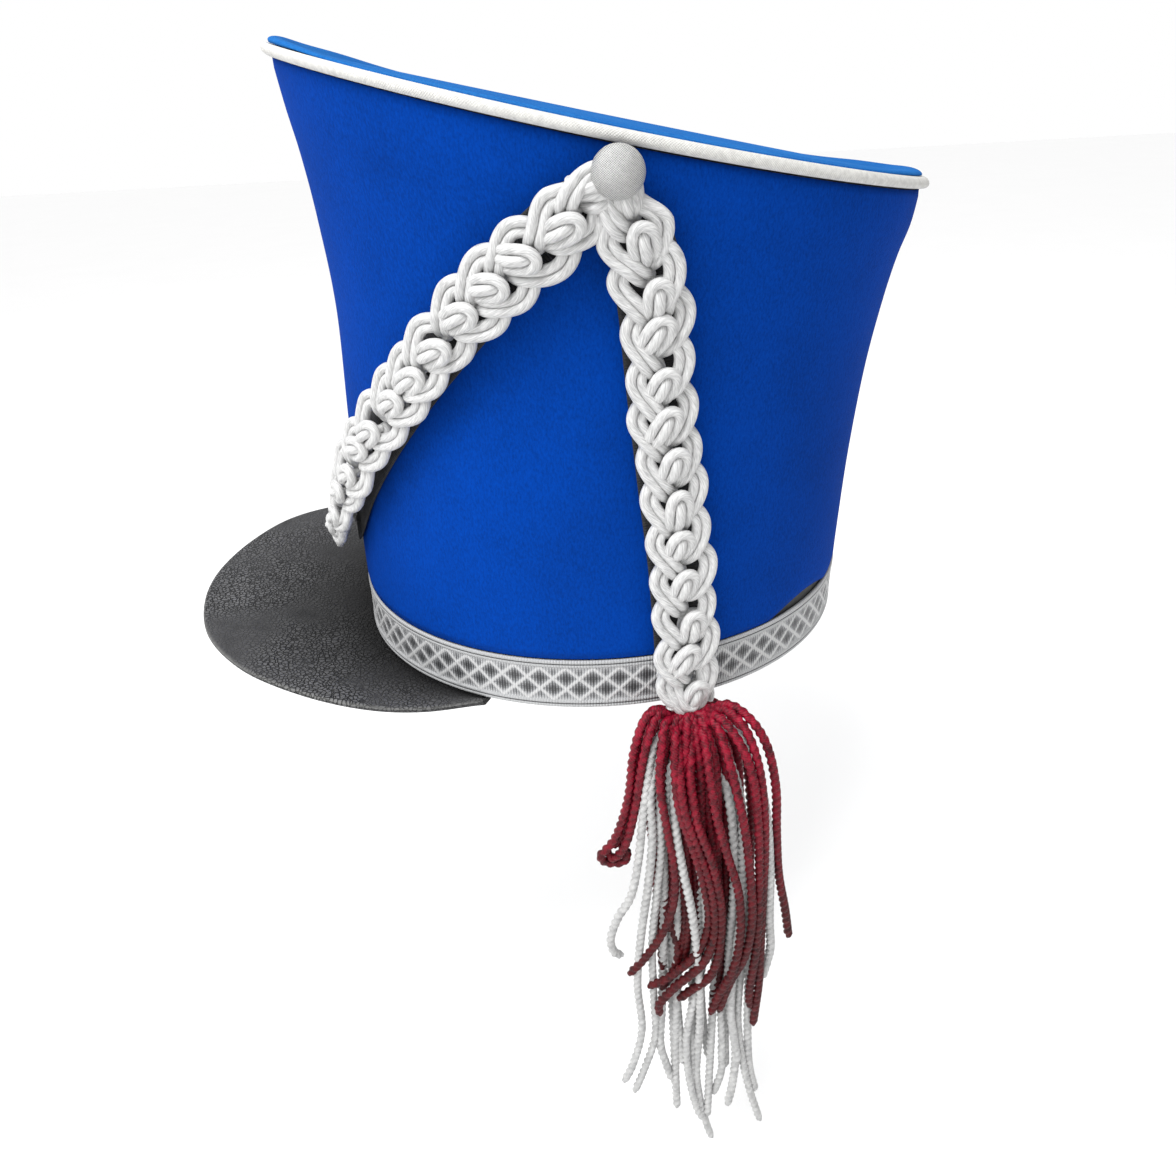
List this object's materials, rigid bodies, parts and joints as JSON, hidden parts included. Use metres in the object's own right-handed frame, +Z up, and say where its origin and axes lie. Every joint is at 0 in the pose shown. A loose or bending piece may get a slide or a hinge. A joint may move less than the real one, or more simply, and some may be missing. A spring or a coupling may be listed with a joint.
{
  "type": "shako hat",
  "caption": "Tall flared parade hat: blue cloth crown with piped rim, silver band, flat black visor, looped white cord braids and a long burgundy and white tassel.",
  "frame": {"origin": "centre of the opening at the base rim, level with the rim's edge, where the hat sits on a head", "axes": "+Z up through the crown, -Y forward over the visor, +X towards the wearer's left, where the tassel hangs"},
  "size_m": [0.225, 0.2841, 0.4278],
  "materials": {
    "crown_shell": "black stiffened board, slightly rough",
    "crown_cover": "royal blue wool felt cloth, matt with short nap",
    "top_cover": "royal blue wool felt cloth, matt",
    "top_piping": "white woven piping cord",
    "base_band": "silver and grey galon ribbon with a diagonal lattice",
    "visor": "black leatherette, fine grain, half matt",
    "button": "silver-white woven metal thread over a domed button",
    "backing": "black tape",
    "braid": "white satin rayon cord, looped",
    "tassel_burgundy": "burgundy twisted rayon cord",
    "tassel_white": "white twisted rayon cord"
  },
  "bodies": {
    "root": {"crown_shell": "crown_shell", "crown_cover": "crown_cover", "top_cover": "top_cover", "top_piping": "top_piping", "base_band": "base_band", "visor": "visor", "left_button": "button", "right_button": "button", "front_backing": "backing", "side_backing": "backing", "front_braid": "braid", "side_braid": "braid", "tassel_burgundy": "tassel_burgundy", "tassel_white": "tassel_white"}
  },
  "joints": []
}
